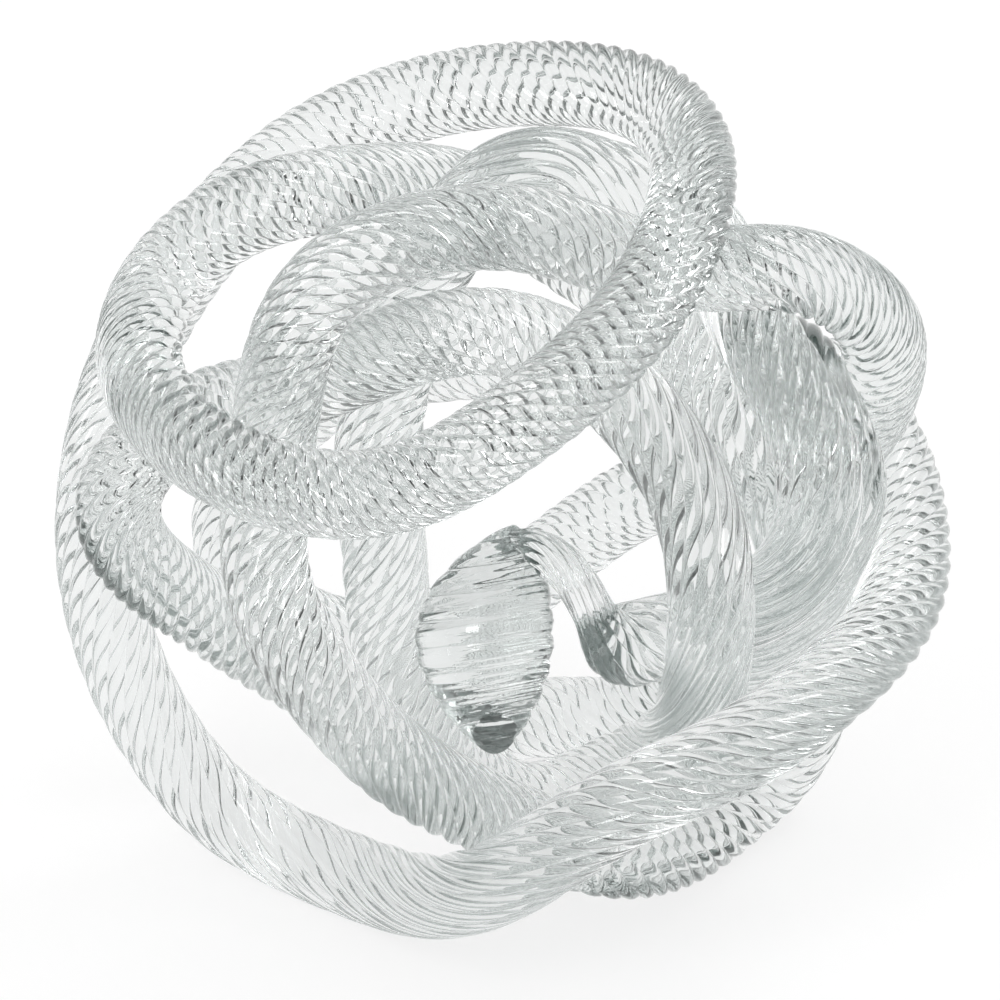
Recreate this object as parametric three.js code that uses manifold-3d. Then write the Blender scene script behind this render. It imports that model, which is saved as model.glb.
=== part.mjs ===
// Glass knot sculpture: one long rope of clear glass, drawn from a thick gather and coiled hot
// into an open ball. Sharp grooves divide the rope's skin into ribs that run round it in a
// right-handed twist. The thick end, the knob, stays in the middle of the ball; the rope winds
// out from it, over and under itself, and its tail is tucked behind the right shoulder.
// Millimetres, +Z up, origin under the middle of the ball on the surface it stands on.
// The rope is laid as consecutive lengths that meet end to end on square faces.
import * as THREE from 'three';
import { mergeVertices } from 'three/addons/utils/BufferGeometryUtils.js';
import Module from 'manifold-3d';

const wasm = await Module();
wasm.setup();

// Rope section and twist
const ropeDiameter = 24;
const ribCount = 10;
const ribDepth = 1.3;
const twistPitch = 110;
const ringStep = 13.4;
const endRingStep = 5;
const turnClearance = 0.9;
const jointGap = 0.3;
const tailRounding = 14;
const tailEndShare = 0.3;

// The ball, which is as wide as ten and a half ropes and leans back on its feet
const ballWidth = ropeDiameter * 10.5;
const standHeight = ballWidth * 0.46;
const viewTilt = THREE.MathUtils.degToRad(28);
const groundFlatDepth = 1.8;

// Thick end in the middle of the ball, with ridges wound round it and a snapped face
const knobDiameter = 38.5;
const knobLength = 64;
const knobTopBend = 8;
const knobTipBend = 3;
const knobTopTaper = 2.1;
const knobTipTaper = 1.7;
const knobFullness = 0.75;
const knobEndShare = 0.985;
const knobSides = 20;
const ridgeCount = 9;
const ridgeDepth = 1.2;
const ridgeSlope = 0.12;
const snappedFaceStart = 0.6;
const snappedFaceNormal = new THREE.Vector3(0.1, -0.75, 0.65).normalize();

// The knob is drawn down to a neck, which rises out of its top and falls to its right
const neckDiameter = 12;
const neckPlainLength = 44;
const neckTaperLength = 20;
const neckStubLength = knobDiameter * 0.8;

// Places in the ball are given as seen from the front, to the right, up and towards the viewer,
// in thousandths of the ball's width; the neck's are given in halves of the knob's own size
const knobPlace = [-17, -167, 107];
const neckShares = [
  [0.26, 0.47, 0],
  [0.41, 0.78, 0.11],
  [0.78, 0.8, 0.21],
  [1.18, 0.54, 0.37],
  [1.53, 0.21, 0.43],
  [2.06, -0.15, 0.27],
];

// Route of the rope's middle line after the neck, in the named lengths that it is laid in
const lengths = [
  ['inner_right_low', [[177, -193, 111], [232, -176, 107], [289, -135, 127], [329, -86, 169]]],
  ['inner_right_rise', [[349, -29, 202], [346, 30, 208], [332, 90, 178], [306, 149, 128]]],
  ['top_right_back', [[272, 206, 89], [244, 257, 67], [212, 298, 61], [165, 328, 67]]],
  ['inner_top_arch', [[110, 347, 91], [52, 357, 124], [3, 339, 158], [-37, 302, 169]]],
  ['centre_left_drop', [[-71, 259, 167], [-103, 205, 151], [-125, 145, 144], [-136, 85, 156]]],
  ['centre_left_stem', [[-138, 36, 156], [-133, -13, 131], [-125, -68, 93],
    [-121, -124, 51], [-114, -179, 24]]],
  ['inner_bottom_turn', [[-100, -235, 16], [-73, -292, -11], [-25, -343, -51],
    [43, -371, -89], [112, -359, -83]]],
  ['centre_right_rise', [[170, -317, -28], [203, -258, 67], [222, -196, 156], [231, -126, 222]]],
  ['centre_right_top', [[223, -61, 250], [204, 1, 267], [166, 62, 278], [120, 112, 283]]],
  ['upper_cross_arch', [[64, 149, 284], [0, 172, 284], [-64, 174, 278], [-124, 160, 251]]],
  ['left_tuck', [[-178, 130, 207], [-233, 104, 178], [-288, 96, 164], [-340, 85, 149]]],
  ['left_curl', [[-386, 52, 133], [-418, 7, 122], [-421, -46, 107], [-394, -90, 62]]],
  ['lower_back_run', [[-345, -127, -22], [-288, -169, -111], [-217, -219, -211], [-133, -259, -300]]],
  ['back_foot', [[-47, -280, -367], [59, -281, -406], [146, -270, -367], [219, -244, -267]]],
  ['back_right_rise', [[274, -206, -150], [323, -163, -56], [363, -115, 22], [383, -57, 78]]],
  ['right_sliver', [[385, 1, 104], [368, 59, 109], [347, 109, 73], [327, 154, -9]]],
  ['upper_back_run', [[289, 134, -139], [246, 137, -211], [190, 145, -278],
    [116, 148, -322], [23, 152, -344], [-70, 149, -344]]],
  ['left_back_drop', [[-156, 134, -322], [-231, 96, -300], [-286, 38, -289], [-314, -31, -283]]],
  ['lower_left_back', [[-304, -95, -294], [-255, -151, -317], [-180, -180, -344], [-99, -177, -372]]],
  ['centre_back_rise', [[-23, -143, -394], [47, -94, -406], [117, -37, -394], [180, 0, -350]]],
  ['back_turn_right', [[236, 7, -283], [292, -2, -222], [339, -2, -139], [375, 24, -78]]],
  ['right_shoulder', [[401, 63, -64], [406, 112, -31], [397, 158, 40], [365, 199, 124]]],
  ['front_arch_right', [[314, 235, 191], [259, 246, 213], [199, 253, 222], [141, 259, 228]]],
  ['front_arch', [[84, 271, 244], [26, 280, 261], [-32, 280, 267], [-91, 264, 267]]],
  ['front_left_drop', [[-150, 233, 272], [-195, 192, 283], [-224, 142, 294], [-243, 85, 294]]],
  ['front_left_stem', [[-256, 19, 283], [-259, -56, 283], [-246, -124, 289], [-208, -189, 289]]],
  ['lower_left_sweep', [[-155, -255, 272], [-102, -306, 228], [-51, -346, 150], [6, -379, 64]]],
  ['right_foot', [[69, -390, 29], [136, -392, -27], [206, -387, -138], [271, -360, -220]]],
  ['right_back_climb', [[321, -321, -251], [356, -257, -247], [363, -187, -211], [350, -115, -128]]],
  ['right_back_rise', [[333, -49, -44], [308, 18, -6], [275, 81, 11], [239, 137, 0]]],
  ['upper_back_cross', [[189, 189, -22], [134, 228, -44], [85, 259, -44], [31, 296, -11]]],
  ['upper_left_arch', [[-22, 322, 33], [-71, 331, 83], [-126, 330, 133], [-179, 325, 161]]],
  ['ring_upper_left', [[-234, 316, 167], [-288, 299, 139], [-335, 269, 111], [-373, 225, 100]]],
  ['ring_left', [[-392, 167, 144], [-381, 106, 217], [-338, 58, 306], [-275, 18, 372]]],
  ['ring_low', [[-210, -5, 411], [-141, -10, 439], [-73, 7, 458], [-5, 49, 464]]],
  ['ring_front_rise', [[63, 99, 450], [121, 152, 411], [172, 215, 356], [202, 285, 278]]],
  ['ring_top_right', [[206, 356, 183], [168, 412, 111], [110, 438, 67], [50, 448, 22]]],
  ['ring_top', [[-22, 448, -22], [-95, 436, -61], [-169, 411, -89], [-235, 374, -111]]],
  ['ring_top_left', [[-290, 327, -122], [-337, 278, -124], [-377, 221, -113], [-409, 159, -89]]],
  ['outer_left', [[-433, 92, -61], [-446, 18, -33], [-451, -58, -28], [-441, -136, -44]]],
  ['left_foot', [[-418, -216, -78], [-377, -293, -113], [-319, -364, -140], [-243, -416, -131]]],
  ['outer_bottom', [[-159, -442, -80], [-75, -437, 33], [2, -406, 167], [75, -366, 236]]],
  ['outer_lower_right', [[148, -327, 264], [217, -291, 261], [282, -252, 231], [344, -208, 172]]],
  ['outer_right', [[395, -158, 94], [431, -100, 4], [445, -34, -80], [442, 26, -156]]],
  ['tail', [[422, 78, -200], [392, 121, -220], [350, 158, -228]]],
];

const ropeRadius = ropeDiameter / 2;
const knobRadius = knobDiameter / 2;
const needed = ropeDiameter + turnClearance;
const floorLine = ropeRadius - groundFlatDepth;
const viewRight = new THREE.Vector3(1, 0, 0);
const viewUp = new THREE.Vector3(0, Math.sin(viewTilt), Math.cos(viewTilt));
const viewToward = new THREE.Vector3(0, -Math.cos(viewTilt), Math.sin(viewTilt));

// A point of the front view in the standing ball's own frame
function placed(point) {
  const [right, up, toward] = point.map((thousandths) => (thousandths * ballWidth) / 1000);
  return new THREE.Vector3(0, 0, standHeight)
    .addScaledVector(viewRight, right)
    .addScaledVector(viewUp, up)
    .addScaledVector(viewToward, toward);
}

const knobMiddle = placed(knobPlace);

// A point of the neck, counted from the knob's middle
function besideKnob([right, up, toward]) {
  return knobMiddle
    .clone()
    .addScaledVector(viewRight, right * knobRadius)
    .addScaledVector(viewUp, (up * knobLength) / 2)
    .addScaledVector(viewToward, toward * knobRadius);
}

// Weights of the four route points that share a stretch of the smooth line
function blendWeights(t) {
  const s = 1 - t;
  return [
    (s * s * s) / 6,
    (3 * t * t * t - 6 * t * t + 4) / 6,
    (3 * s * s * s - 6 * s * s + 4) / 6,
    (t * t * t) / 6,
  ];
}

// The middle line: a smooth curve that is led by the route points
class RopeLine extends THREE.Curve {
  constructor(points) {
    super();
    this.points = points;
    this.last = points.length - 1;
  }

  pointAt(i) {
    const { points, last } = this;
    if (i < 0) return points[0].clone().multiplyScalar(2).sub(points[1]);
    if (i > last) return points[last].clone().multiplyScalar(2).sub(points[last - 1]);
    return points[i];
  }

  // Position at a place counted in route points
  at(place) {
    const first = Math.min(Math.max(Math.floor(place), 0), this.last - 1);
    const position = new THREE.Vector3();
    blendWeights(place - first).forEach((weight, k) => {
      position.addScaledVector(this.pointAt(first - 1 + k), weight);
    });
    return position;
  }

  getPoint(t) {
    return this.at(t * this.last);
  }
}

const route = [...neckShares.map(besideKnob), ...lengths.flatMap(([, points]) => points.map(placed))];
const line = new RopeLine(route);

// Outline of the knob: full in the middle, domed at the top and drawn in to a tip below
function knobRadiusAt(share) {
  const taper = share > 0 ? knobTopTaper : knobTipTaper;
  return knobRadius * (1 - Math.abs(share) ** taper) ** knobFullness;
}

// The knob's middle line stands upright and bends to the right at both ends
function knobLineAt(share) {
  const bend = (share > 0 ? knobTopBend : knobTipBend) * share ** 2;
  return knobMiddle
    .clone()
    .addScaledVector(viewUp, (share * knobLength) / 2)
    .addScaledVector(viewRight, bend);
}

// The turns are eased apart until no two of them come closer than the rope is thick. Each round
// pushes the line at close places, more towards the viewer or away than sideways.
const samplesPerPoint = 3;
const easingRounds = 400;
const neighbourSamples = 8;
const sidewaysShare = 0.4;
const turnPush = 0.22;
const knobPush = 0.3;
const knobPushEnd = 0.9;
const pushGain = 1.5;
const ownMove = 0.6;
const neighbourMove = 0.2;

function pushPoint(pushes, place, push) {
  const first = Math.min(Math.floor(place), line.last - 1);
  blendWeights(place - first).forEach((weight, k) => {
    const index = Math.min(Math.max(first - 1 + k, 0), line.last);
    pushes[index].addScaledVector(push, weight * pushGain);
  });
}

function pushTurnsApart(samples, places, pushes) {
  for (let i = 0; i < samples.length; i += 1) {
    for (let j = i + neighbourSamples; j < samples.length; j += 1) {
      const apart = samples[j].distanceTo(samples[i]);
      if (apart >= needed) continue;
      const push = samples[j].clone().sub(samples[i]).multiplyScalar(turnPush * (needed / apart - 1));
      const toward = push.dot(viewToward);
      push.multiplyScalar(sidewaysShare).addScaledVector(viewToward, toward * (1 - sidewaysShare));
      pushPoint(pushes, places[j], push);
      pushPoint(pushes, places[i], push.clone().negate());
    }
  }
}

function pushOffKnob(samples, places, pushes) {
  samples.forEach((sample, i) => {
    if (places[i] <= neighbourSamples) return;
    const along = sample.clone().sub(knobMiddle).dot(viewUp);
    const share = THREE.MathUtils.clamp(along / (knobLength / 2), -knobPushEnd, knobPushEnd);
    const away = sample.clone().sub(knobLineAt(share));
    const room = knobRadiusAt(share) + ropeRadius + turnClearance;
    const lacking = Math.max(room / away.length() - 1, 0);
    pushPoint(pushes, places[i], away.multiplyScalar(knobPush * lacking));
  });
}

function moveRoute(pushes) {
  pushes.forEach((push, i) => {
    const before = pushes[Math.max(i - 1, 0)];
    const after = pushes[Math.min(i + 1, line.last)];
    route[i]
      .addScaledVector(push, ownMove)
      .addScaledVector(before, neighbourMove)
      .addScaledVector(after, neighbourMove);
    route[i].z = Math.max(route[i].z, floorLine);
  });
}

function easeApart() {
  const count = line.last * samplesPerPoint;
  const places = Array.from({ length: count + 1 }, (_, i) => i / samplesPerPoint);
  for (let round = 0; round < easingRounds; round += 1) {
    const samples = places.map((place) => line.at(place));
    const pushes = route.map(() => new THREE.Vector3());
    pushTurnsApart(samples, places, pushes);
    pushOffKnob(samples, places, pushes);
    moveRoute(pushes);
  }
}

easeApart();

// Stations along the whole rope, with a frame that doesn't spin round the line
const stationsPerPoint = 20;
const tangentShare = 0.01;

function layStations() {
  const count = line.last * stationsPerPoint;
  const laid = [];
  let side = new THREE.Vector3().crossVectors(viewToward, line.at(tangentShare).sub(line.at(0)));
  let travelled = 0;
  for (let i = 0; i <= count; i += 1) {
    const place = i / stationsPerPoint;
    const position = line.at(place);
    const ahead = line.at(Math.min(place + tangentShare, line.last));
    const behind = line.at(Math.max(place - tangentShare, 0));
    const tangent = ahead.sub(behind).normalize();
    side = side.clone().addScaledVector(tangent, -side.dot(tangent)).normalize();
    if (i > 0) travelled += position.distanceTo(laid[i - 1].position);
    laid.push({ place, position, tangent, side, travelled });
  }
  return laid;
}

const stations = layStations();
const ropeLength = stations.at(-1).travelled;

// The station at a distance along the rope
function stationAt(distance) {
  const next = stations.findIndex(({ travelled }) => travelled > distance);
  const high = next < 0 ? stations.length - 1 : Math.max(next, 1);
  const a = stations[high - 1];
  const b = stations[high];
  const t = (distance - a.travelled) / (b.travelled - a.travelled);
  return {
    position: a.position.clone().lerp(b.position, t),
    tangent: a.tangent.clone().lerp(b.tangent, t).normalize(),
    side: a.side.clone().lerp(b.side, t).normalize(),
  };
}

// The rope is slimmer where it leaves the knob, and its tail ends round
function radiusAt(distance) {
  const t = THREE.MathUtils.smoothstep(distance, neckPlainLength, neckPlainLength + neckTaperLength);
  const radius = THREE.MathUtils.lerp(neckDiameter / 2, ropeRadius, t);
  const closing = Math.max(0, 1 - (ropeLength - distance) / tailRounding);
  return radius * Math.max(tailEndShare, Math.sqrt(Math.max(0, 1 - closing ** 2)));
}

// One ring of the ribbed section: a point on each crest and one in each groove
function ribbedRing(distance) {
  const { position, tangent, side } = stationAt(distance);
  const other = new THREE.Vector3().crossVectors(tangent, side);
  const radius = radiusAt(distance);
  const grooveRadius = radius * (1 - ribDepth / ropeRadius);
  const turn = (2 * Math.PI * distance) / twistPitch;
  return Array.from({ length: ribCount * 2 }, (_, k) => {
    const angle = turn + (k * Math.PI) / ribCount;
    const reach = k % 2 === 0 ? radius : grooveRadius;
    return position
      .clone()
      .addScaledVector(side, reach * Math.cos(angle))
      .addScaledVector(other, reach * Math.sin(angle));
  });
}

// A closed body from a row of rings, with a fan of faces over each end
function loft(rings) {
  const around = rings[0].length;
  const points = rings.flat();
  const middle = (ring) => ring.reduce((sum, p) => sum.add(p), new THREE.Vector3()).divideScalar(around);
  const startHub = points.push(middle(rings[0])) - 1;
  const endHub = points.push(middle(rings.at(-1))) - 1;
  const faces = [];
  const lastRow = (rings.length - 1) * around;
  for (let k = 0; k < around; k += 1) {
    const next = (k + 1) % around;
    faces.push(startHub, next, k, endHub, lastRow + k, lastRow + next);
    for (let row = 0; row < lastRow; row += around) {
      faces.push(row + k, row + next, row + around + k);
      faces.push(row + next, row + around + next, row + around + k);
    }
  }
  const geometry = new THREE.BufferGeometry();
  geometry.setAttribute('position', new THREE.Float32BufferAttribute(points.flatMap((p) => p.toArray()), 3));
  geometry.setIndex(faces);
  return geometry;
}

// The rope between two distances along it
function ropeBody(start, end, step) {
  const steps = Math.max(2, Math.round((end - start) / step));
  const spacing = (end - start) / steps;
  return loft(Array.from({ length: steps + 1 }, (_, i) => ribbedRing(start + spacing * i)));
}

// The knob by itself: ridges that rise a little to the right, with a groove between each two
function gatherBody() {
  const rings = [];
  for (let i = 0; i <= ridgeCount * 2; i += 1) {
    const share = knobEndShare * (i / ridgeCount - 1);
    const radius = knobRadiusAt(share);
    const reach = i % 2 === 0 ? radius : radius * (1 - ridgeDepth / knobRadius);
    const ring = [];
    for (let k = 0; k < knobSides; k += 1) {
      const angle = (2 * Math.PI * k) / knobSides;
      ring.push(
        knobLineAt(share)
          .addScaledVector(viewRight, reach * Math.cos(angle))
          .addScaledVector(viewToward, -reach * Math.sin(angle))
          .addScaledVector(viewUp, ridgeSlope * reach * Math.cos(angle)),
      );
    }
    rings.push(ring);
  }
  return loft(rings);
}

const weldTolerance = 1e-4;

function solidOf(geometry) {
  const shared = geometry.clone();
  Object.keys(shared.attributes)
    .filter((name) => name !== 'position')
    .forEach((name) => shared.deleteAttribute(name));
  const merged = mergeVertices(shared, weldTolerance);
  return new wasm.Manifold(
    new wasm.Mesh({
      numProp: 3,
      vertProperties: new Float32Array(merged.attributes.position.array),
      triVerts: new Uint32Array(merged.index.array),
    }),
  );
}

function geometryOf(solid) {
  const mesh = solid.getMesh();
  const geometry = new THREE.BufferGeometry();
  geometry.setAttribute('position', new THREE.BufferAttribute(mesh.vertProperties, 3));
  geometry.setIndex(new THREE.BufferAttribute(mesh.triVerts, 1));
  return geometry;
}

// The knob and the root of its neck are one gather, snapped off low down in front
function knobGeometry() {
  const facing = new THREE.Vector3()
    .addScaledVector(viewRight, snappedFaceNormal.x)
    .addScaledVector(viewUp, snappedFaceNormal.y)
    .addScaledVector(viewToward, snappedFaceNormal.z);
  const edge = knobLineAt(-snappedFaceStart).addScaledVector(viewToward, knobRadiusAt(-snappedFaceStart));
  const stub = ropeBody(0, neckStubLength - jointGap / 2, endRingStep);
  const gather = solidOf(gatherBody()).add(solidOf(stub));
  return geometryOf(gather.trimByPlane(facing.clone().negate().toArray(), -edge.dot(facing)));
}

// Where the rope stands, its underside is ground flat to the surface
function groundFlat(geometry) {
  geometry.computeBoundingBox();
  if (geometry.boundingBox.min.z >= 0) return geometry;
  return geometryOf(solidOf(geometry).trimByPlane([0, 0, 1], 0));
}

const glassColour = new THREE.Color(0.93, 0.95, 0.92);

function glass(name, geometry) {
  const material = new THREE.MeshStandardMaterial({
    color: glassColour,
    roughness: 0.03,
    metalness: 0,
    transparent: true,
    opacity: 0.35,
  });
  geometry.computeVertexNormals();
  const mesh = new THREE.Mesh(geometry, material);
  mesh.name = name;
  return mesh;
}

// Joints lie halfway between the last point of one length and the first of the next
function layLengths() {
  const names = ['neck', ...lengths.map(([name]) => name)];
  const joints = [neckStubLength];
  let points = neckShares.length;
  lengths.forEach(([, ofLength]) => {
    joints.push(stations[Math.round((points - 1 / 2) * stationsPerPoint)].travelled);
    points += ofLength.length;
  });
  joints.push(ropeLength);
  return names.map((name, i) => {
    const isEnd = i === 0 || i === names.length - 1;
    const step = isEnd ? endRingStep : ringStep;
    const body = ropeBody(joints[i] + jointGap / 2, joints[i + 1] - jointGap / 2, step);
    return glass(name, groundFlat(body));
  });
}

const sculpture = new THREE.Group();
sculpture.add(glass('knob', knobGeometry()), ...layLengths());

// The middle of the ball's outline stands over the origin
const outlineMiddle = new THREE.Box3().setFromObject(sculpture).getCenter(new THREE.Vector3());
sculpture.position.set(-outlineMiddle.x, -outlineMiddle.y, 0);

// Least gap between turns that pass each other, measured on the line's stations
function leastGap() {
  const stride = 4;
  const apart = Math.ceil((neighbourSamples / samplesPerPoint) * stationsPerPoint);
  let least = Infinity;
  for (let i = 0; i < stations.length; i += stride) {
    for (let j = i + apart; j < stations.length; j += stride) {
      least = Math.min(least, stations[i].position.distanceTo(stations[j].position) - ropeDiameter);
    }
  }
  return least;
}
console.log(`rope length ${ropeLength.toFixed(0)} mm, least gap between turns ${leastGap().toFixed(2)} mm`);

export default sculpture;
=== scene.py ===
"""Glass knot sculpture: one long rope of clear glass with twisted ribs, coiled hot into an open ball.

Everything is in metres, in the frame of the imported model: +Z up, the side that the sculpture shows
towards -Y, the origin on the surface under the middle of the outline. The rope's route is the same as
the solids' route: points read off the front view, eased apart until no turn cuts another.
"""

import math

import bmesh
import bpy
import numpy as np
from bpy.props import FloatProperty, FloatVectorProperty, IntProperty, PointerProperty
from bpy.types import Operator, Panel, PropertyGroup
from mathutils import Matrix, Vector


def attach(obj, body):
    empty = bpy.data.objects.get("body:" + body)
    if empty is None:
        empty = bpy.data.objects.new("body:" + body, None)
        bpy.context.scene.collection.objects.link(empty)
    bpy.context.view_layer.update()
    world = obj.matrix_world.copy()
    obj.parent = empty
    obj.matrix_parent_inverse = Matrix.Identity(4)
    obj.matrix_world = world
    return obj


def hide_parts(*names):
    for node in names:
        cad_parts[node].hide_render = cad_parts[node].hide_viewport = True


bl_info = {
    "name": "Glass Knot Sculpture",
    "version": (1, 0, 0),
    "blender": (4, 5, 0),
    "location": "3D View > Sidebar > Glass Knot",
    "description": "Builds a knot sculpture of ribbed clear glass rope and the studio round it",
    "category": "Add Mesh",
}

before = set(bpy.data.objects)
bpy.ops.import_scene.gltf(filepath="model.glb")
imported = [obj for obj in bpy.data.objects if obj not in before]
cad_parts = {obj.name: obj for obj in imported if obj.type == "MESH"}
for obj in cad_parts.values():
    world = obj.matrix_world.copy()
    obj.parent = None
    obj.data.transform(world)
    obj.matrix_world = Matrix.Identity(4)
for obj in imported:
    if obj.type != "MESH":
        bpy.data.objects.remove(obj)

MM = 0.001
BODY = "root"
ROPE_PIECE = "glass_rope"

# The ball is as wide as ten and a half ropes; the front view that its route was read in leans back
BALL_WIDTH = 252 * MM
STAND_HEIGHT = 0.46 * BALL_WIDTH
VIEW_TILT = math.radians(28)
VIEW_RIGHT = np.array([1.0, 0.0, 0.0])
VIEW_UP = np.array([0.0, math.sin(VIEW_TILT), math.cos(VIEW_TILT)])
VIEW_TOWARD = np.array([0.0, -math.cos(VIEW_TILT), math.sin(VIEW_TILT)])

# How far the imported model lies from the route's own frame, so that its outline is centred
SHIFT = np.array([-1.09, 3.1125, 0.0]) * MM

# Places in the front view, to the right, up and towards the viewer: the knob's and the rope's in
# thousandths of the ball's width, the neck's counted from the knob in halves of its own size. The
# rope's named lengths also say in how many millimetres its ribs go round it once.
KNOB_PLACE = (-17, -167, 107)
NECK_SHARES = [
    (0.26, 0.47, 0.0),
    (0.41, 0.78, 0.11),
    (0.78, 0.8, 0.21),
    (1.18, 0.54, 0.37),
    (1.53, 0.21, 0.43),
    (2.06, -0.15, 0.27),
]
NECK_PITCH = 420
LENGTHS = [
    ("inner_right_low", 200, [(177, -193, 111), (232, -176, 107), (289, -135, 127), (329, -86, 169)]),
    ("inner_right_rise", 200, [(349, -29, 202), (346, 30, 208), (332, 90, 178), (306, 149, 128)]),
    ("top_right_back", 160, [(272, 206, 89), (244, 257, 67), (212, 298, 61), (165, 328, 67)]),
    ("inner_top_arch", 190, [(110, 347, 91), (52, 357, 124), (3, 339, 158), (-37, 302, 169)]),
    ("centre_left_drop", 90, [(-71, 259, 167), (-103, 205, 151), (-125, 145, 144), (-136, 85, 156)]),
    ("centre_left_stem", 150, [(-138, 36, 156), (-133, -13, 131), (-125, -68, 93),
        (-121, -124, 51), (-114, -179, 24)]),
    ("inner_bottom_turn", 120, [(-100, -235, 16), (-73, -292, -11), (-25, -343, -51),
        (43, -371, -89), (112, -359, -83)]),
    ("centre_right_rise", 230, [(170, -317, -28), (203, -258, 67), (222, -196, 156), (231, -126, 222)]),
    ("centre_right_top", 220, [(223, -61, 250), (204, 1, 267), (166, 62, 278), (120, 112, 283)]),
    ("upper_cross_arch", 100, [(64, 149, 284), (0, 172, 284), (-64, 174, 278), (-124, 160, 251)]),
    ("left_tuck", 95, [(-178, 130, 207), (-233, 104, 178), (-288, 96, 164), (-340, 85, 149)]),
    ("left_curl", 60, [(-386, 52, 133), (-418, 7, 122), (-421, -46, 107), (-394, -90, 62)]),
    ("lower_back_run", 110, [(-345, -127, -22), (-288, -169, -111),
        (-217, -219, -211), (-133, -259, -300)]),
    ("back_foot", 100, [(-47, -280, -367), (59, -281, -406), (146, -270, -367), (219, -244, -267)]),
    ("back_right_rise", 170, [(274, -206, -150), (323, -163, -56), (363, -115, 22), (383, -57, 78)]),
    ("right_sliver", 220, [(385, 1, 104), (368, 59, 109), (347, 109, 73), (327, 154, -9)]),
    ("upper_back_run", 120, [(289, 134, -139), (246, 137, -211), (190, 145, -278),
        (116, 148, -322), (23, 152, -344), (-70, 149, -344)]),
    ("left_back_drop", 110, [(-156, 134, -322), (-231, 96, -300), (-286, 38, -289), (-314, -31, -283)]),
    ("lower_left_back", 110, [(-304, -95, -294), (-255, -151, -317),
        (-180, -180, -344), (-99, -177, -372)]),
    ("centre_back_rise", 80, [(-23, -143, -394), (47, -94, -406), (117, -37, -394), (180, 0, -350)]),
    ("back_turn_right", 90, [(236, 7, -283), (292, -2, -222), (339, -2, -139), (375, 24, -78)]),
    ("right_shoulder", 75, [(401, 63, -64), (406, 112, -31), (397, 158, 40), (365, 199, 124)]),
    ("front_arch_right", 100, [(314, 235, 191), (259, 246, 213), (199, 253, 222), (141, 259, 228)]),
    ("front_arch", 110, [(84, 271, 244), (26, 280, 261), (-32, 280, 267), (-91, 264, 267)]),
    ("front_left_drop", 110, [(-150, 233, 272), (-195, 192, 283), (-224, 142, 294), (-243, 85, 294)]),
    ("front_left_stem", 130, [(-256, 19, 283), (-259, -56, 283), (-246, -124, 289), (-208, -189, 289)]),
    ("lower_left_sweep", 140, [(-155, -255, 272), (-102, -306, 228), (-51, -346, 150), (6, -379, 64)]),
    ("right_foot", 85, [(69, -390, 29), (136, -392, -27), (206, -387, -138), (271, -360, -220)]),
    ("right_back_climb", 180, [(321, -321, -251), (356, -257, -247), (363, -187, -211), (350, -115, -128)]),
    ("right_back_rise", 190, [(333, -49, -44), (308, 18, -6), (275, 81, 11), (239, 137, 0)]),
    ("upper_back_cross", 100, [(189, 189, -22), (134, 228, -44), (85, 259, -44), (31, 296, -11)]),
    ("upper_left_arch", 90, [(-22, 322, 33), (-71, 331, 83), (-126, 330, 133), (-179, 325, 161)]),
    ("ring_upper_left", 80, [(-234, 316, 167), (-288, 299, 139), (-335, 269, 111), (-373, 225, 100)]),
    ("ring_left", 75, [(-392, 167, 144), (-381, 106, 217), (-338, 58, 306), (-275, 18, 372)]),
    ("ring_low", 85, [(-210, -5, 411), (-141, -10, 439), (-73, 7, 458), (-5, 49, 464)]),
    ("ring_front_rise", 75, [(63, 99, 450), (121, 152, 411), (172, 215, 356), (202, 285, 278)]),
    ("ring_top_right", 66, [(206, 356, 183), (168, 412, 111), (110, 438, 67), (50, 448, 22)]),
    ("ring_top", 85, [(-22, 448, -22), (-95, 436, -61), (-169, 411, -89), (-235, 374, -111)]),
    ("ring_top_left", 95, [(-290, 327, -122), (-337, 278, -124), (-377, 221, -113), (-409, 159, -89)]),
    ("outer_left", 150, [(-433, 92, -61), (-446, 18, -33), (-451, -58, -28), (-441, -136, -44)]),
    ("left_foot", 185, [(-418, -216, -78), (-377, -293, -113), (-319, -364, -140), (-243, -416, -131)]),
    ("outer_bottom", 190, [(-159, -442, -80), (-75, -437, 33), (2, -406, 167), (75, -366, 236)]),
    ("outer_lower_right", 180, [(148, -327, 264), (217, -291, 261), (282, -252, 231), (344, -208, 172)]),
    ("outer_right", 105, [(395, -158, 94), (431, -100, 4), (445, -34, -80), (442, 26, -156)]),
    ("tail", 90, [(422, 78, -200), (392, 121, -220), (350, 158, -228)]),
]

# How the turns are eased apart: places tried between two route points, rounds, places along the rope
# that may lie close because they follow each other, shares of a push that go sideways and that a turn
# and the knob give, and how much of each move the points beside it take over
SAMPLES_PER_POINT = 3
EASING_ROUNDS = 400
NEIGHBOUR_REACH = 8
SIDEWAYS_SHARE = 0.4
TURN_PUSH = 0.22
KNOB_PUSH = 0.3
PUSH_SPREAD = 1.5
KNOB_END_SHARE = 0.9
OWN_MOVE = 0.6
PASSED_MOVE = 0.2

# Steps between two route points when the rope's middle line is measured
MEASURE_STEPS = 20

# Where the rope's section has its points, as shares of one rib from groove to groove
RIB_POINTS = (0.0, 0.04, 0.12, 0.26, 0.42, 0.58, 0.74, 0.88, 0.96)

# Two slow waves make the grooves uneven: steps from groove to groove and along the rope, and a start
GROOVE_WAVES = [(2.1, 1.7, 0.0), (4.3, -2.9, 1.0)]

# Share of the rope's radius that is left where its tail closes
TAIL_END_SHARE = 0.12

# How close to a cutting plane a point counts as lying on it, in metres
ON_PLANE = 1e-7

# Outline of the knob: how fast the top and the tip draw in, and how full it is between them
TOP_TAPER = 2.1
TIP_TAPER = 1.7
FULLNESS = 0.75

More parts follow.
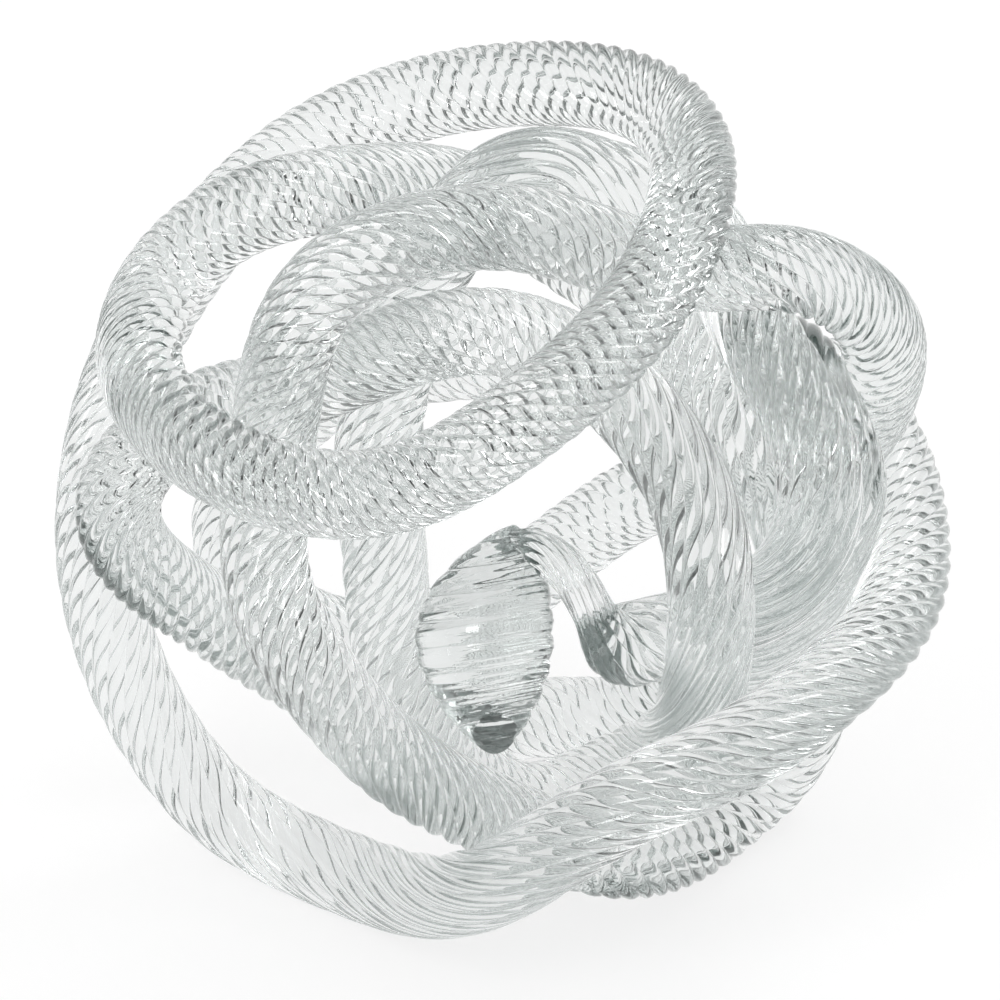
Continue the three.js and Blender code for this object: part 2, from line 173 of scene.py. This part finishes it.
# The knob's skin: rings along it and points round it, how near its poles the rings begin, how far its
# ridges lean round it, how rounded they are, and the share of its width below which they fade out
KNOB_RINGS = 180
KNOB_SIDES = 144
POLE_ANGLE = 0.05
RIDGE_LEAN = 2
RIDGE_ROUNDNESS = 0.7
RIDGE_FADE = 0.3

# Fine flow lines between the knob's ridges: how many go to a ridge, how deep they are as a share of
# the ridges' depth, and how far and how often they waver round the knob. They are faint on its left.
FLOW_LINES = [(3, 0.12, 2, 2), (5, 0.08, -3, 1)]
FLOW_EVEN = 0.55
FLOW_TO_RIGHT = 0.45

# The way that the snapped face looks, in the front view
SNAPPED_FACE = (0.1, -0.75, 0.65)

# How bright the room is that the glass shows, as (place, brightness) stops: upwards from the
# horizon, out to both sides, and round to the front, where the camera stands in a darker part
ROOM_HEIGHT = [
    (0.0, 1.0), (0.30, 1.0), (0.35, 0.10), (0.50, 0.10), (0.55, 0.9),
    (0.70, 0.9), (0.75, 0.2), (0.82, 0.2), (0.86, 1.0), (1.0, 1.0),
]
ROOM_SIDES = [(0.0, 1.0), (0.60, 1.0), (0.75, 0.1), (0.85, 0.1), (1.0, 0.9)]
ROOM_FRONT = [(0.0, 1.0), (0.70, 1.0), (0.85, 0.10), (1.0, 0.05)]

# The stage, in metres: half the floor's width, the grain of its paper, the two soft boxes, how far the
# photograph's frame is shifted, and what the camera sees between
FLOOR_HALF = 6.0
PAPER_GRAIN = 900.0
PAPER_GRAIN_TONE = 0.98
FRONT_LAMP_PLACE = (-0.6, -1.2, 1.3)
BACK_LAMP_PLACE = (0.9, 0.6, 1.4)
FRAME_SHIFT = -0.012
NEAREST_SEEN = 0.1
FURTHEST_SEEN = 30.0


class RopeSizes(PropertyGroup):
    """Sizes of the rope."""

    diameter: FloatProperty(
        name="Diameter", description="Across the crests of the ribs", default=24 * MM, unit="LENGTH"
    )
    rib_count: IntProperty(name="Ribs", description="Ribs round the rope", default=13, min=3)
    rib_depth: FloatProperty(
        name="Rib depth", description="From a crest down to a groove", default=1.3 * MM, unit="LENGTH"
    )
    rib_sharpness: FloatProperty(
        name="Rib sharpness",
        description="Higher for flatter ribs with narrower grooves",
        default=2.0,
        min=1.0,
    )
    rib_unevenness: FloatProperty(
        name="Rib unevenness",
        description="How much the grooves differ in depth",
        default=0.35,
        min=0.0,
        max=1.0,
    )
    ring_step: FloatProperty(
        name="Ring step", description="Between two rings of the surface", default=2.2 * MM, unit="LENGTH"
    )
    turn_clearance: FloatProperty(
        name="Turn clearance", description="Least room left between turns", default=0.9 * MM, unit="LENGTH"
    )
    tail_rounding: FloatProperty(
        name="Tail rounding", description="Length over which the tail closes", default=14 * MM, unit="LENGTH"
    )
    ground_depth: FloatProperty(
        name="Ground flats", description="Depth ground off where it stands", default=1.8 * MM, unit="LENGTH"
    )


class KnobSizes(PropertyGroup):
    """Sizes of the thick end in the middle of the ball, and of the neck that leaves it."""

    diameter: FloatProperty(
        name="Diameter", description="Across the knob's widest place", default=38.5 * MM, unit="LENGTH"
    )
    length: FloatProperty(
        name="Length", description="From the knob's tip to its top", default=64 * MM, unit="LENGTH"
    )
    top_bend: FloatProperty(
        name="Top bend", description="How far the top leans to the right", default=8 * MM, unit="LENGTH"
    )
    tip_bend: FloatProperty(
        name="Tip bend", description="How far the tip leans to the right", default=3 * MM, unit="LENGTH"
    )
    ridge_depth: FloatProperty(
        name="Ridge depth", description="Height of the ridges wound round it", default=0.9 * MM, unit="LENGTH"
    )
    ridge_pitch: FloatProperty(
        name="Ridge pitch", description="Between two ridges along the knob", default=7.2 * MM, unit="LENGTH"
    )
    neck_diameter: FloatProperty(
        name="Neck diameter",
        description="Of the rope where it leaves the knob",
        default=12 * MM,
        unit="LENGTH",
    )
    neck_plain: FloatProperty(
        name="Plain neck", description="Length before the neck thickens", default=44 * MM, unit="LENGTH"
    )
    neck_taper: FloatProperty(
        name="Neck taper", description="Length over which the neck thickens", default=20 * MM, unit="LENGTH"
    )
    snapped_start: FloatProperty(
        name="Snapped face", description="Where it starts, as a share of the way down to the tip", default=0.6
    )


class GlassLook(PropertyGroup):
    """Finish of the glass."""

    tint: FloatVectorProperty(
        name="Tint",
        description="Colour that thick glass takes",
        default=(0.70, 0.74, 0.73),
        subtype="COLOR",
    )
    tint_density: FloatProperty(
        name="Tint density", description="How fast thick glass takes its tint, per metre", default=20.0
    )
    ior: FloatProperty(name="Index of refraction", description="Of soda-lime glass", default=1.5)


class StudioLook(PropertyGroup):
    """Floor, light and camera of the studio that the glass stands in."""

    floor_brightness: FloatProperty(
        name="Floor brightness", description="Of the pale paper under the sculpture", default=0.92
    )
    floor_glow: FloatProperty(
        name="Floor white", description="Share of the floor's white that no shadow dims", default=0.8
    )
    lamp_width: FloatProperty(
        name="Lamp width", description="Side of each soft box", default=0.6, unit="LENGTH"
    )
    front_power: FloatProperty(
        name="Front lamp", description="Power of the lamp at the front left", default=9.0, unit="POWER"
    )
    back_power: FloatProperty(
        name="Back lamp", description="Power of the lamp at the back right", default=7.0, unit="POWER"
    )
    light_bounces: IntProperty(
        name="Light bounces", description="How often light may meet the skin of the rope", default=32, min=4
    )
    view_distance: FloatProperty(
        name="View distance", description="From the camera to the ball's middle", default=1.9, unit="LENGTH"
    )
    view_width: FloatProperty(
        name="View width", description="Width seen at the ball's middle", default=0.28, unit="LENGTH"
    )


def in_view(right, up, toward):
    """A step in the front view, given in metres."""
    return right * VIEW_RIGHT + up * VIEW_UP + toward * VIEW_TOWARD


def placed(point):
    """A point of the front view, given in thousandths of the ball's width."""
    return np.array([0.0, 0.0, STAND_HEIGHT]) + in_view(*(np.array(point) * BALL_WIDTH / 1000))


def beside_knob(shares, knob):
    """A point counted from the knob's middle in halves of the knob's own size."""
    right, up, toward = shares
    return placed(KNOB_PLACE) + in_view(
        right * knob.diameter / 2, up * knob.length / 2, toward * knob.diameter / 2
    )


def blend_weights(t):
    """Weights of the four route points that share a stretch of the smooth line."""
    s = 1 - t
    return [s**3 / 6, (3 * t**3 - 6 * t**2 + 4) / 6, (3 * s**3 - 6 * s**2 + 4) / 6, t**3 / 6]


def line_weights(places, count):
    """One row for each place on the line, with the share that each route point has in it."""
    rows = np.zeros((len(places), count))
    for row, place in zip(rows, places):
        first = min(max(math.floor(place), 0), count - 2)
        for k, weight in enumerate(blend_weights(place - first)):
            index = first - 1 + k
            if index < 0:
                row[0] += 2 * weight
                row[1] -= weight
            elif index >= count:
                row[-1] += 2 * weight
                row[-2] -= weight
            else:
                row[index] += weight
    return rows


def push_weights(places, count):
    """How strongly a push on each place moves each route point."""
    rows = np.zeros((count, len(places)))
    for column, place in enumerate(places):
        first = min(math.floor(place), count - 2)
        for k, weight in enumerate(blend_weights(place - first)):
            rows[min(max(first - 1 + k, 0), count - 1), column] += PUSH_SPREAD * weight
    return rows


def knob_radius(share, knob):
    """Outline of the knob: full in the middle, domed at the top and drawn in to a tip below."""
    taper = np.where(share > 0, TOP_TAPER, TIP_TAPER)
    return knob.diameter / 2 * (1 - np.abs(share) ** taper) ** FULLNESS


def knob_line(share, knob):
    """The knob's middle line stands upright and bends to the right at both ends."""
    bend = np.where(share > 0, knob.top_bend, knob.tip_bend) * share**2
    return (
        placed(KNOB_PLACE)
        + np.multiply.outer(share * knob.length / 2, VIEW_UP)
        + np.multiply.outer(bend, VIEW_RIGHT)
    )


def eased_route(rope, knob):
    """Route points moved until no two turns come closer than the rope is thick."""
    neck = [beside_knob(shares, knob) for shares in NECK_SHARES]
    route = np.array(neck + [placed(point) for _, _, points in LENGTHS for point in points])
    count = len(route)
    places = np.arange((count - 1) * SAMPLES_PER_POINT + 1) / SAMPLES_PER_POINT
    on_line = line_weights(places, count)
    to_route = push_weights(places, count)
    needed = rope.diameter + rope.turn_clearance
    floor_line = rope.diameter / 2 - rope.ground_depth
    first, second = np.triu_indices(len(places), NEIGHBOUR_REACH)
    near = np.linalg.norm((on_line @ route)[second] - (on_line @ route)[first], axis=1) < 2 * needed
    first, second = first[near], second[near]
    past_neck = np.nonzero(places > NEIGHBOUR_REACH)[0]
    for _ in range(EASING_ROUNDS):
        samples = on_line @ route
        pushes = np.zeros_like(samples)
        apart = samples[second] - samples[first]
        distance = np.linalg.norm(apart, axis=1)
        tight = distance < needed
        push = apart[tight] * (TURN_PUSH * (needed / distance[tight] - 1))[:, None]
        toward = push @ VIEW_TOWARD
        push = push * SIDEWAYS_SHARE + np.multiply.outer(toward * (1 - SIDEWAYS_SHARE), VIEW_TOWARD)
        np.add.at(pushes, second[tight], push)
        np.add.at(pushes, first[tight], -push)
        share = (samples[past_neck] - placed(KNOB_PLACE)) @ VIEW_UP / (knob.length / 2)
        share = np.clip(share, -KNOB_END_SHARE, KNOB_END_SHARE)
        away = samples[past_neck] - knob_line(share, knob)
        room = knob_radius(share, knob) + rope.diameter / 2 + rope.turn_clearance
        gap = np.linalg.norm(away, axis=1)
        pushes[past_neck] += away * (KNOB_PUSH * np.maximum(room / gap - 1, 0))[:, None]
        moves = to_route @ pushes
        before = np.vstack([moves[:1], moves[:-1]])
        after = np.vstack([moves[1:], moves[-1:]])
        route += OWN_MOVE * moves + PASSED_MOVE * before + PASSED_MOVE * after
        route[:, 2] = np.maximum(route[:, 2], floor_line)
    return route


def turns_per_metre(places):
    """How fast the ribs go round, at places on the line: the named lengths differ."""
    pitches, middles, first = [NECK_PITCH], [(len(NECK_SHARES) - 1) / 2], len(NECK_SHARES)
    for _, pitch, points in LENGTHS:
        pitches.append(pitch)
        middles.append(first + (len(points) - 1) / 2)
        first += len(points)
    return np.interp(places, middles, 1 / (np.array(pitches) * MM))


class RopeLine:
    """The rope's middle line, with a frame that doesn't spin round it, at even steps along it."""

    def __init__(self, route, step):
        fine = np.linspace(0, len(route) - 1, (len(route) - 1) * MEASURE_STEPS + 1)
        position = line_weights(fine, len(route)) @ route
        travelled = np.concatenate([[0], np.cumsum(np.linalg.norm(np.diff(position, axis=0), axis=1))])
        self.length = travelled[-1]
        count = round(self.length / step)
        self.distance = np.linspace(0, self.length, count + 1)
        self.position = np.column_stack([np.interp(self.distance, travelled, axis) for axis in position.T])
        rate = turns_per_metre(np.interp(self.distance, travelled, fine))
        self.turn = 2 * math.pi * np.cumsum(rate) * self.distance[1]
        tangent = np.gradient(self.position, axis=0)
        self.tangent = tangent / np.linalg.norm(tangent, axis=1)[:, None]
        side = np.cross(VIEW_TOWARD, self.tangent[0])
        sides = []
        for direction in self.tangent:
            side = side - direction * (side @ direction)
            side = side / np.linalg.norm(side)
            sides.append(side)
        self.side = np.array(sides)
        self.other = np.cross(self.tangent, self.side)


def ribbed_rings(line, radius, depth, rope):
    """Rings of the rope's section: rounded ribs with sharp grooves that aren't all alike."""
    in_rib = np.array(RIB_POINTS)
    rib = np.arange(rope.rib_count)[:, None]
    angle = line.turn[:, None] + 2 * math.pi * ((rib + in_rib) / rope.rib_count).ravel()
    hollow = np.abs(2 * np.tile(in_rib, rope.rib_count) - 1) ** rope.rib_sharpness
    groove = (rib + np.round(in_rib)).ravel() % rope.rib_count
    along = line.distance[:, None] / rope.diameter
    uneven = sum(np.sin(across * groove + onward * along + start) for across, onward, start in GROOVE_WAVES)
    reach = radius[:, None] - depth[:, None] * hollow * (1 + rope.rib_unevenness * (uneven / 2 - 0.5))
    return (
        line.position[:, None, :]
        + (reach * np.cos(angle))[:, :, None] * line.side[:, None, :]
        + (reach * np.sin(angle))[:, :, None] * line.other[:, None, :]
    )


def closed_mesh(name, rings):
    """A closed, smoothly shaded body from rows of ring points, with a fan over each end."""
    rows, around, _ = rings.shape
    points = np.vstack([rings.reshape(-1, 3), rings[0].mean(axis=0), rings[-1].mean(axis=0)])
    here = np.arange(rows * around).reshape(rows, around)
    beside = np.roll(here, -1, axis=1)
    sides = np.stack([here[:-1], beside[:-1], beside[1:], here[1:]], axis=-1).reshape(-1, 4)
    start, end = rows * around, rows * around + 1
    fans = [(start, b, a) for a, b in zip(here[0].tolist(), beside[0].tolist())]
    fans += [(end, a, b) for a, b in zip(here[-1].tolist(), beside[-1].tolist())]
    mesh = bpy.data.meshes.new(name)
    mesh.from_pydata(points.tolist(), [], sides.tolist() + fans)
    mesh.shade_smooth()
    piece = bpy.data.objects.new(name, mesh)
    bpy.context.collection.objects.link(piece)
    return piece


def cut_off(piece, point, normal):
    """Cuts away what lies beyond a plane and closes the cut with a flat face."""
    work = bmesh.new()
    work.from_mesh(piece.data)
    everything = work.verts[:] + work.edges[:] + work.faces[:]
    cut = bmesh.ops.bisect_plane(
        work, geom=everything, plane_co=point, plane_no=normal, clear_outer=True, dist=ON_PLANE
    )
    edges = [item for item in cut["geom_cut"] if isinstance(item, bmesh.types.BMEdge)]
    faces = bmesh.ops.edgeloop_fill(work, edges=edges)["faces"]
    for face in faces:
        face.smooth = False
    bmesh.ops.recalc_face_normals(work, faces=work.faces)
    work.to_mesh(piece.data)
    work.free()


def fuse(piece, addition):
    """Joins a second closed body to a piece as one solid, with no face left between them."""
    join = piece.modifiers.new("fuse", "BOOLEAN")
    join.operation = "UNION"
    join.solver = "MANIFOLD"
    join.object = addition
    fused = piece.evaluated_get(bpy.context.evaluated_depsgraph_get())
    mesh = bpy.data.meshes.new_from_object(fused)
    piece.modifiers.remove(join)
    piece.data = mesh
    bpy.data.objects.remove(addition)


def glass_material(look):
    """Clear solid glass that takes a faint tint where it is thick."""
    material = bpy.data.materials.new("clear_glass")
    material.use_nodes = True
    nodes, links = material.node_tree.nodes, material.node_tree.links
    shader = nodes["Principled BSDF"]
    shader.inputs["Base Color"].default_value = (1.0, 1.0, 1.0, 1.0)
    shader.inputs["Roughness"].default_value = 0.0
    shader.inputs["IOR"].default_value = look.ior
    shader.inputs["Transmission Weight"].default_value = 1.0
    absorption = nodes.new("ShaderNodeVolumeAbsorption")
    absorption.inputs["Color"].default_value = (*look.tint, 1.0)
    absorption.inputs["Density"].default_value = look.tint_density
    links.new(absorption.outputs["Volume"], nodes["Material Output"].inputs["Volume"])
    return material


class KNOT_OT_rope(Operator):
    """Make the glass rope that winds out from the knob and round the ball"""

    bl_idname = "knot.rope"
    bl_label = "Glass Rope"

    def execute(self, context):
        rope, knob = context.scene.knot_rope, context.scene.knot_knob
        line = RopeLine(eased_route(rope, knob), rope.ring_step)
        ramp = np.clip((line.distance - knob.neck_plain) / knob.neck_taper, 0, 1)
        ramp = ramp * ramp * (3 - 2 * ramp)
        radius = knob.neck_diameter / 2 + (rope.diameter - knob.neck_diameter) / 2 * ramp
        closing = np.maximum(0, 1 - (line.length - line.distance) / rope.tail_rounding)
        radius = radius * np.maximum(TAIL_END_SHARE, np.sqrt(np.maximum(0, 1 - closing**2)))
        depth = rope.rib_depth * radius / (rope.diameter / 2)
        piece = closed_mesh(ROPE_PIECE, ribbed_rings(line, radius, depth, rope) + SHIFT)
        cut_off(piece, (0, 0, 0), (0, 0, -1))
        piece.data.materials.append(glass_material(context.scene.knot_glass))
        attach(piece, BODY)
        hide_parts("knob", "neck", *[name for name, _, _ in LENGTHS])
        return {"FINISHED"}


class KNOT_OT_knob(Operator):
    """Make the thick end in the middle of the ball and fuse it to the rope that is drawn from it"""

    bl_idname = "knot.knob"
    bl_label = "Knob"

    def execute(self, context):
        knob = context.scene.knot_knob
        share = -np.cos(np.linspace(POLE_ANGLE, math.pi - POLE_ANGLE, KNOB_RINGS))
        angle = np.linspace(0, 2 * math.pi, KNOB_SIDES, endpoint=False)
        along = share * knob.length / 2
        lean = 2 * math.pi * along[:, None] / knob.ridge_pitch - RIDGE_LEAN * np.cos(angle)
        ridge = np.abs(np.sin(lean / 2)) ** RIDGE_ROUNDNESS - 1
        flow = sum(
            deep * np.sin(count * lean + waver * np.sin(times * angle))
            for count, deep, waver, times in FLOW_LINES
        )
        ridge = ridge + flow * (FLOW_EVEN + FLOW_TO_RIGHT * np.cos(angle))
        reach = knob_radius(share, knob)[:, None]
        reach = reach + knob.ridge_depth * ridge * np.minimum(1, reach / (RIDGE_FADE * knob.diameter))
        rings = (
            (knob_line(share, knob) + SHIFT)[:, None, :]
            + (reach * np.cos(angle))[:, :, None] * VIEW_RIGHT
            - (reach * np.sin(angle))[:, :, None] * VIEW_TOWARD
        )
        gather = closed_mesh("knob", rings)
        start = knob.snapped_start
        edge = knob_line(-start, knob) + SHIFT + knob_radius(-start, knob) * VIEW_TOWARD
        cut_off(gather, tuple(edge), tuple(in_view(*SNAPPED_FACE)))
        fuse(bpy.data.objects[ROPE_PIECE], gather)
        return {"FINISHED"}


def ramp_node(nodes, stops):
    """A colour ramp of greys from (place, brightness) stops."""
    ramp = nodes.new("ShaderNodeValToRGB")
    elements = ramp.color_ramp.elements
    while len(elements) < len(stops):
        elements.new(0.5)
    for element, (place, grey) in zip(elements, stops):
        element.position = place
        element.color = (grey, grey, grey, 1.0)
    return ramp


def studio_world():
    """A white room for the camera; for the glass, soft bright and dark parts of a studio."""
    world = bpy.data.worlds.new("studio")
    bpy.context.scene.world = world
    world.use_nodes = True
    nodes, links = world.node_tree.nodes, world.node_tree.links
    nodes.clear()
    direction = nodes.new("ShaderNodeTexCoord")
    split = nodes.new("ShaderNodeSeparateXYZ")
    links.new(direction.outputs["Generated"], split.inputs[0])
    aside = nodes.new("ShaderNodeMath")
    aside.operation = "ABSOLUTE"
    links.new(split.outputs["X"], aside.inputs[0])
    ahead = nodes.new("ShaderNodeMath")
    ahead.operation = "MULTIPLY"
    ahead.inputs[1].default_value = -1.0
    links.new(split.outputs["Y"], ahead.inputs[0])
    tone = None
    for reach, stops in (
        (split.outputs["Z"], ROOM_HEIGHT),
        (aside.outputs[0], ROOM_SIDES),
        (ahead.outputs[0], ROOM_FRONT),
    ):
        ramp = ramp_node(nodes, stops)
        links.new(reach, ramp.inputs["Fac"])
        if tone is None:
            tone = ramp.outputs["Color"]
            continue
        both = nodes.new("ShaderNodeMix")
        both.data_type = "RGBA"
        both.blend_type = "MULTIPLY"
        both.inputs["Factor"].default_value = 1.0
        links.new(tone, both.inputs["A"])
        links.new(ramp.outputs["Color"], both.inputs["B"])
        tone = both.outputs["Result"]
    room = nodes.new("ShaderNodeBackground")
    links.new(tone, room.inputs["Color"])
    white = nodes.new("ShaderNodeBackground")
    white.inputs["Color"].default_value = (1.0, 1.0, 1.0, 1.0)
    path = nodes.new("ShaderNodeLightPath")
    plain = nodes.new("ShaderNodeMath")
    plain.operation = "MAXIMUM"
    links.new(path.outputs["Is Camera Ray"], plain.inputs[0])
    links.new(path.outputs["Is Diffuse Ray"], plain.inputs[1])
    pick = nodes.new("ShaderNodeMixShader")
    output = nodes.new("ShaderNodeOutputWorld")
    links.new(plain.outputs[0], pick.inputs["Fac"])
    links.new(room.outputs[0], pick.inputs[1])
    links.new(white.outputs[0], pick.inputs[2])
    links.new(pick.outputs[0], output.inputs["Surface"])


def soft_lamp(name, place, width, power):
    """A square soft box that faces the middle of the ball."""
    light = bpy.data.lights.new(name, "AREA")
    light.size = width
    light.energy = power
    lamp = bpy.data.objects.new(name, light)
    bpy.context.collection.objects.link(lamp)
    lamp.location = place
    aim = Vector((0.0, 0.0, STAND_HEIGHT)) - Vector(place)
    lamp.rotation_euler = aim.to_track_quat("-Z", "Y").to_euler()
    lamp.visible_camera = False


def floor_material(look):
    """White paper that keeps a light shadow."""
    material = bpy.data.materials.new("white_paper")
    material.use_nodes = True
    nodes, links = material.node_tree.nodes, material.node_tree.links
    nodes.clear()
    paper = nodes.new("ShaderNodeBsdfDiffuse")
    grain = nodes.new("ShaderNodeTexNoise")
    grain.inputs["Scale"].default_value = PAPER_GRAIN
    pale = look.floor_brightness
    tone = ramp_node(nodes, [(0.0, pale * PAPER_GRAIN_TONE), (1.0, pale)])
    links.new(grain.outputs["Fac"], tone.inputs["Fac"])
    links.new(tone.outputs["Color"], paper.inputs["Color"])
    glow = nodes.new("ShaderNodeEmission")
    glow.inputs["Color"].default_value = (1.0, 1.0, 1.0, 1.0)
    glow.inputs["Strength"].default_value = 1.0
    mix = nodes.new("ShaderNodeMixShader")
    mix.inputs["Fac"].default_value = look.floor_glow
    output = nodes.new("ShaderNodeOutputMaterial")
    links.new(paper.outputs[0], mix.inputs[1])
    links.new(glow.outputs[0], mix.inputs[2])
    links.new(mix.outputs[0], output.inputs["Surface"])
    return material


class KNOT_OT_stage(Operator):
    """Make the floor, the light and the camera"""

    bl_idname = "knot.stage"
    bl_label = "Studio"

    def execute(self, context):
        look = context.scene.knot_studio
        mesh = bpy.data.meshes.new("floor")
        corners = [(x * FLOOR_HALF, y * FLOOR_HALF, 0) for x, y in ((-1, -1), (1, -1), (1, 1), (-1, 1))]
        mesh.from_pydata(corners, [], [(0, 1, 2, 3)])
        mesh.materials.append(floor_material(look))
        floor = bpy.data.objects.new("floor", mesh)
        context.collection.objects.link(floor)
        studio_world()
        soft_lamp("front_left_lamp", FRONT_LAMP_PLACE, look.lamp_width, look.front_power)
        soft_lamp("back_right_lamp", BACK_LAMP_PLACE, look.lamp_width, look.back_power)
        lens = bpy.data.cameras.new("camera")
        lens.lens = lens.sensor_width * look.view_distance / look.view_width
        lens.shift_y = FRAME_SHIFT
        lens.clip_start = NEAREST_SEEN
        lens.clip_end = FURTHEST_SEEN
        camera = bpy.data.objects.new("camera", lens)
        context.collection.objects.link(camera)
        camera.location = placed((0, 0, 0)) + look.view_distance * VIEW_TOWARD + SHIFT
        camera.rotation_euler = Vector(-VIEW_TOWARD).to_track_quat("-Z", "Y").to_euler()
        context.scene.camera = camera
        # Light that is caught in the long rope meets its skin many times before it gets out
        light_paths = context.scene.cycles
        light_paths.max_bounces = look.light_bounces
        light_paths.glossy_bounces = look.light_bounces
        light_paths.transmission_bounces = look.light_bounces
        context.scene.view_settings.view_transform = "Standard"
        return {"FINISHED"}


class KNOT_PT_panel(Panel):
    """Lists the sizes, the finishes and the steps that build the sculpture"""

    bl_label = "Glass Knot"
    bl_space_type = "VIEW_3D"
    bl_region_type = "UI"
    bl_category = "Glass Knot"

    def draw(self, context):
        for settings in (
            context.scene.knot_rope,
            context.scene.knot_knob,
            context.scene.knot_glass,
            context.scene.knot_studio,
        ):
            box = self.layout.box()
            for name in settings.bl_rna.properties.keys():
                if name not in {"rna_type", "name"}:
                    box.prop(settings, name)
        for step in STEPS:
            self.layout.operator(step.bl_idname)


SETTINGS = {
    "knot_rope": RopeSizes,
    "knot_knob": KnobSizes,
    "knot_glass": GlassLook,
    "knot_studio": StudioLook,
}
STEPS = (KNOT_OT_rope, KNOT_OT_knob, KNOT_OT_stage)


def register():
    for cls in (*SETTINGS.values(), *STEPS, KNOT_PT_panel):
        bpy.utils.register_class(cls)
    for name, settings in SETTINGS.items():
        setattr(bpy.types.Scene, name, PointerProperty(type=settings))


def unregister():
    for name in SETTINGS:
        delattr(bpy.types.Scene, name)
    for cls in (KNOT_PT_panel, *reversed(STEPS), *reversed(list(SETTINGS.values()))):
        bpy.utils.unregister_class(cls)


def main():
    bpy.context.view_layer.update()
    register()
    bpy.ops.knot.rope()
    bpy.ops.knot.knob()
    bpy.ops.knot.stage()


if __name__ == "__main__":
    main()
